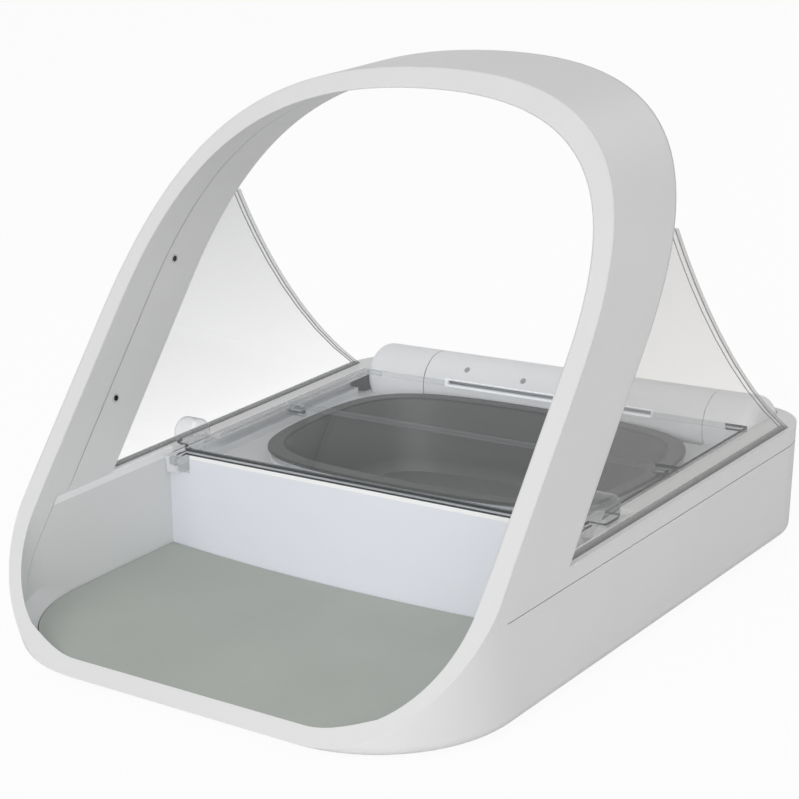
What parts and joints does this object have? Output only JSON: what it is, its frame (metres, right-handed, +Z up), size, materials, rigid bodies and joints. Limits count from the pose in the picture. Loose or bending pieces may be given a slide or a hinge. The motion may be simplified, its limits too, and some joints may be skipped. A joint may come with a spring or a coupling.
{
  "type": "microchip pet feeder",
  "caption": "Covered pet feeder: leaning sensor hoop over a matted floor, clear side shields, and a bowl under a clear motor-driven bi-fold lid on a barrel hinge.",
  "frame": {"origin": "middle of the footprint on the surface it stands on", "axes": "+X to the feeder's right as seen from the front, +Y towards the rear, +Z up"},
  "size_m": [0.227, 0.2664, 0.2006],
  "materials": {
    "white_housing": "satin moulded ABS",
    "clear_lid": "clear polycarbonate, lightly smoked",
    "clear_shield": "clear polycarbonate",
    "floor_rubber": "soft matt rubber",
    "bowl_plastic": "satin polypropylene",
    "track_plastic": "slippery acetal",
    "gear_plastic": "acetal",
    "coil_winding": "enamelled winding on a band",
    "sensor_lens": "infrared window",
    "steel": "ground",
    "bush_metal": "sintered",
    "contact_metal": "plated spring strip",
    "board": "solder mask",
    "button_plastic": "moulded",
    "cell_sleeve": "sleeved cell, its density near a real cell's",
    "foot_rubber": "soft rubber"
  },
  "bodies": {
    "base": {"upper_housing": "white_housing", "hoop_liner": "white_housing", "lower_housing": "white_housing", "inner_tray": "white_housing", "bowl_well": "white_housing", "barrel_cap_left": "white_housing", "barrel_cap_right": "white_housing", "battery_cover_left": "white_housing", "battery_cover_right": "white_housing", "antenna_coil": "coil_winding", "ir_sensors": "sensor_lens", "floor_mat": "floor_rubber", "bowl": "bowl_plastic", "lid_track_left": "track_plastic", "lid_track_right": "track_plastic", "shaft_bush_left": "bush_metal", "shaft_bush_right": "bush_metal", "gear_motor": "steel", "motor_bracket": "gear_plastic", "circuit_board": "board", "battery_cells_left": "cell_sleeve", "battery_cells_right": "cell_sleeve", "battery_contacts_left": "contact_metal", "battery_contacts_right": "contact_metal", "rubber_feet": "foot_rubber", "housing_screws": "steel", "side_shield_left": "clear_shield", "side_shield_right": "clear_shield"},
    "lid_rear": {"lid_rear_panel": "clear_lid", "lid_drum": "white_housing", "drum_shaft": "steel", "lid_gear": "gear_plastic", "fold_pins": "steel"},
    "lid_front": {"lid_front_panel": "clear_lid"},
    "pinion": {"drive_pinion": "gear_plastic", "output_shaft": "steel"},
    "button_learn": {"button_learn": "button_plastic"},
    "button_open": {"button_open": "button_plastic"},
    "button_training": {"button_training": "button_plastic"}
  },
  "joints": [
    {"name": "lid_rear_hinge", "type": "hinge", "parent": "base", "child": "lid_rear", "pos_m": [0, 0.11591, 0.0436], "axis": [-1, 0, 0], "range_deg": [0, 78]},
    {"name": "lid_fold_hinge", "type": "hinge", "parent": "lid_rear", "child": "lid_front", "pos_m": [0, 0.04716, 0.046], "axis": [-1, 0, 0], "range_deg": [-156, 0]},
    {"name": "pinion_spin", "type": "hinge", "parent": "base", "child": "pinion", "pos_m": [0.087, 0.11591, 0.0246], "axis": [-1, 0, 0], "range_deg": [-86.7, 0]},
    {"name": "button_learn_press", "type": "slide", "parent": "base", "child": "button_learn", "axis": [0, -1, 0], "range_m": [0, 0.0012], "stiffness_N_per_m": 500, "springref_m": -0.001},
    {"name": "button_open_press", "type": "slide", "parent": "base", "child": "button_open", "axis": [0, -1, 0], "range_m": [0, 0.0012], "stiffness_N_per_m": 500, "springref_m": -0.001},
    {"name": "button_training_press", "type": "slide", "parent": "base", "child": "button_training", "axis": [0, -1, 0], "range_m": [0, 0.0012], "stiffness_N_per_m": 500, "springref_m": -0.001}
  ],
  "couplings": [
    {"joint": "lid_fold_hinge", "follows": "lid_rear_hinge", "ratio": -2},
    {"joint": "pinion_spin", "follows": "lid_rear_hinge", "ratio": -1.1111}
  ]
}
